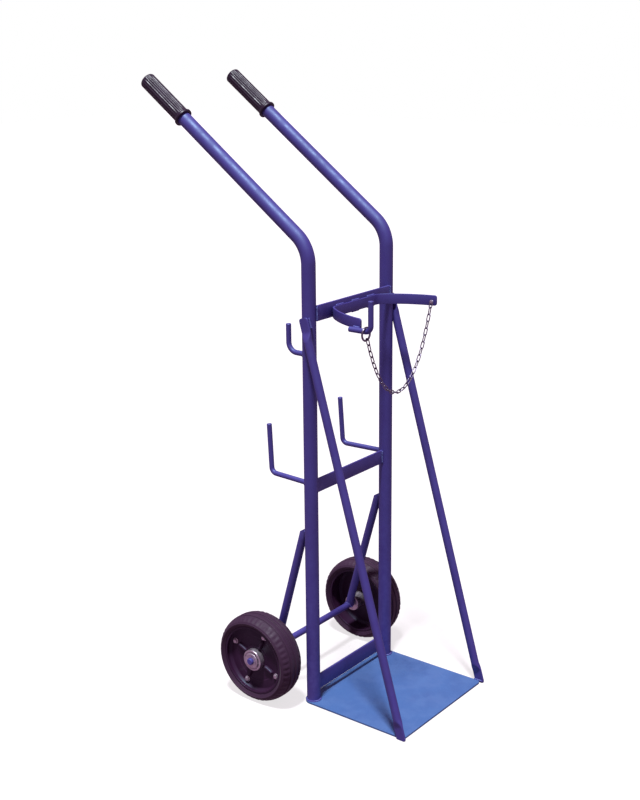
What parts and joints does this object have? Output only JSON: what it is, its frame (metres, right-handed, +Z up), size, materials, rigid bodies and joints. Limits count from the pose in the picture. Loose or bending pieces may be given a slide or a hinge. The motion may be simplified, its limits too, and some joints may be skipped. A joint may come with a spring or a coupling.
{
  "type": "oxy acetylene torch cart",
  "caption": "Upright gas cylinder trolley: bent tube frame with ribbed handles, base plate, curved cradle with safety chain, hose and torch hooks, and wheels on a rear axle.",
  "frame": {"origin": "on the ground, on the underside of the base plate, midway between the uprights' centre lines", "axes": "+X across the trolley, away from the side with the torch hook; +Y backwards, to the handles and wheels; +Z up"},
  "size_m": [0.49, 0.7521, 1.4345],
  "materials": {
    "frame_paint": "glossy purple-blue paint",
    "plate_paint": "satin mid-blue paint, lightly scuffed",
    "grip_rubber": "satin, ribbed lengthwise",
    "tyre_rubber": "matt",
    "rim_paint": "satin dark paint",
    "zinc_steel": "zinc plated, slightly dull",
    "chain_steel": "zinc plated links"
  },
  "bodies": {
    "frame": {"base_plate": "plate_paint", "left_upright": "frame_paint", "right_upright": "frame_paint", "left_grip": "grip_rubber", "right_grip": "grip_rubber", "top_crossbar": "frame_paint", "middle_crossbar": "frame_paint", "bottom_crossbar": "frame_paint", "left_front_stay": "frame_paint", "right_front_stay": "frame_paint", "left_axle_stay": "frame_paint", "right_axle_stay": "frame_paint", "axle": "frame_paint", "cylinder_saddle": "frame_paint", "saddle_hook": "frame_paint", "torch_hook": "frame_paint", "left_hose_hook": "frame_paint", "right_hose_hook": "frame_paint", "left_axle_retainer": "zinc_steel", "right_axle_retainer": "zinc_steel", "chain_screw": "zinc_steel", "chain_nut": "zinc_steel"},
    "left_wheel": {"left_tyre": "tyre_rubber", "left_rim": "rim_paint", "left_hub": "zinc_steel", "left_rim_bolt_1": "zinc_steel", "left_rim_bolt_2": "zinc_steel", "left_rim_bolt_3": "zinc_steel", "left_rim_bolt_4": "zinc_steel"},
    "right_wheel": {"right_tyre": "tyre_rubber", "right_rim": "rim_paint", "right_hub": "zinc_steel", "right_rim_bolt_1": "zinc_steel", "right_rim_bolt_2": "zinc_steel", "right_rim_bolt_3": "zinc_steel", "right_rim_bolt_4": "zinc_steel"},
    "safety_chain": {"chain": "chain_steel", "chain_ring": "chain_steel"}
  },
  "joints": [
    {"name": "left_wheel_spin", "type": "hinge", "parent": "frame", "child": "left_wheel", "pos_m": [-0.2045, 0.1123, 0.1067], "axis": [1, 0, 0], "continuous": true},
    {"name": "right_wheel_spin", "type": "hinge", "parent": "frame", "child": "right_wheel", "pos_m": [0.2045, 0.1123, 0.1067], "axis": [1, 0, 0], "continuous": true},
    {"name": "chain_swing", "type": "hinge", "parent": "frame", "child": "safety_chain", "pos_m": [-0.154, -0.1595, 0.9298], "axis": [0.9953, 0.0968, 0.0041], "range_deg": [-50, 15]}
  ]
}
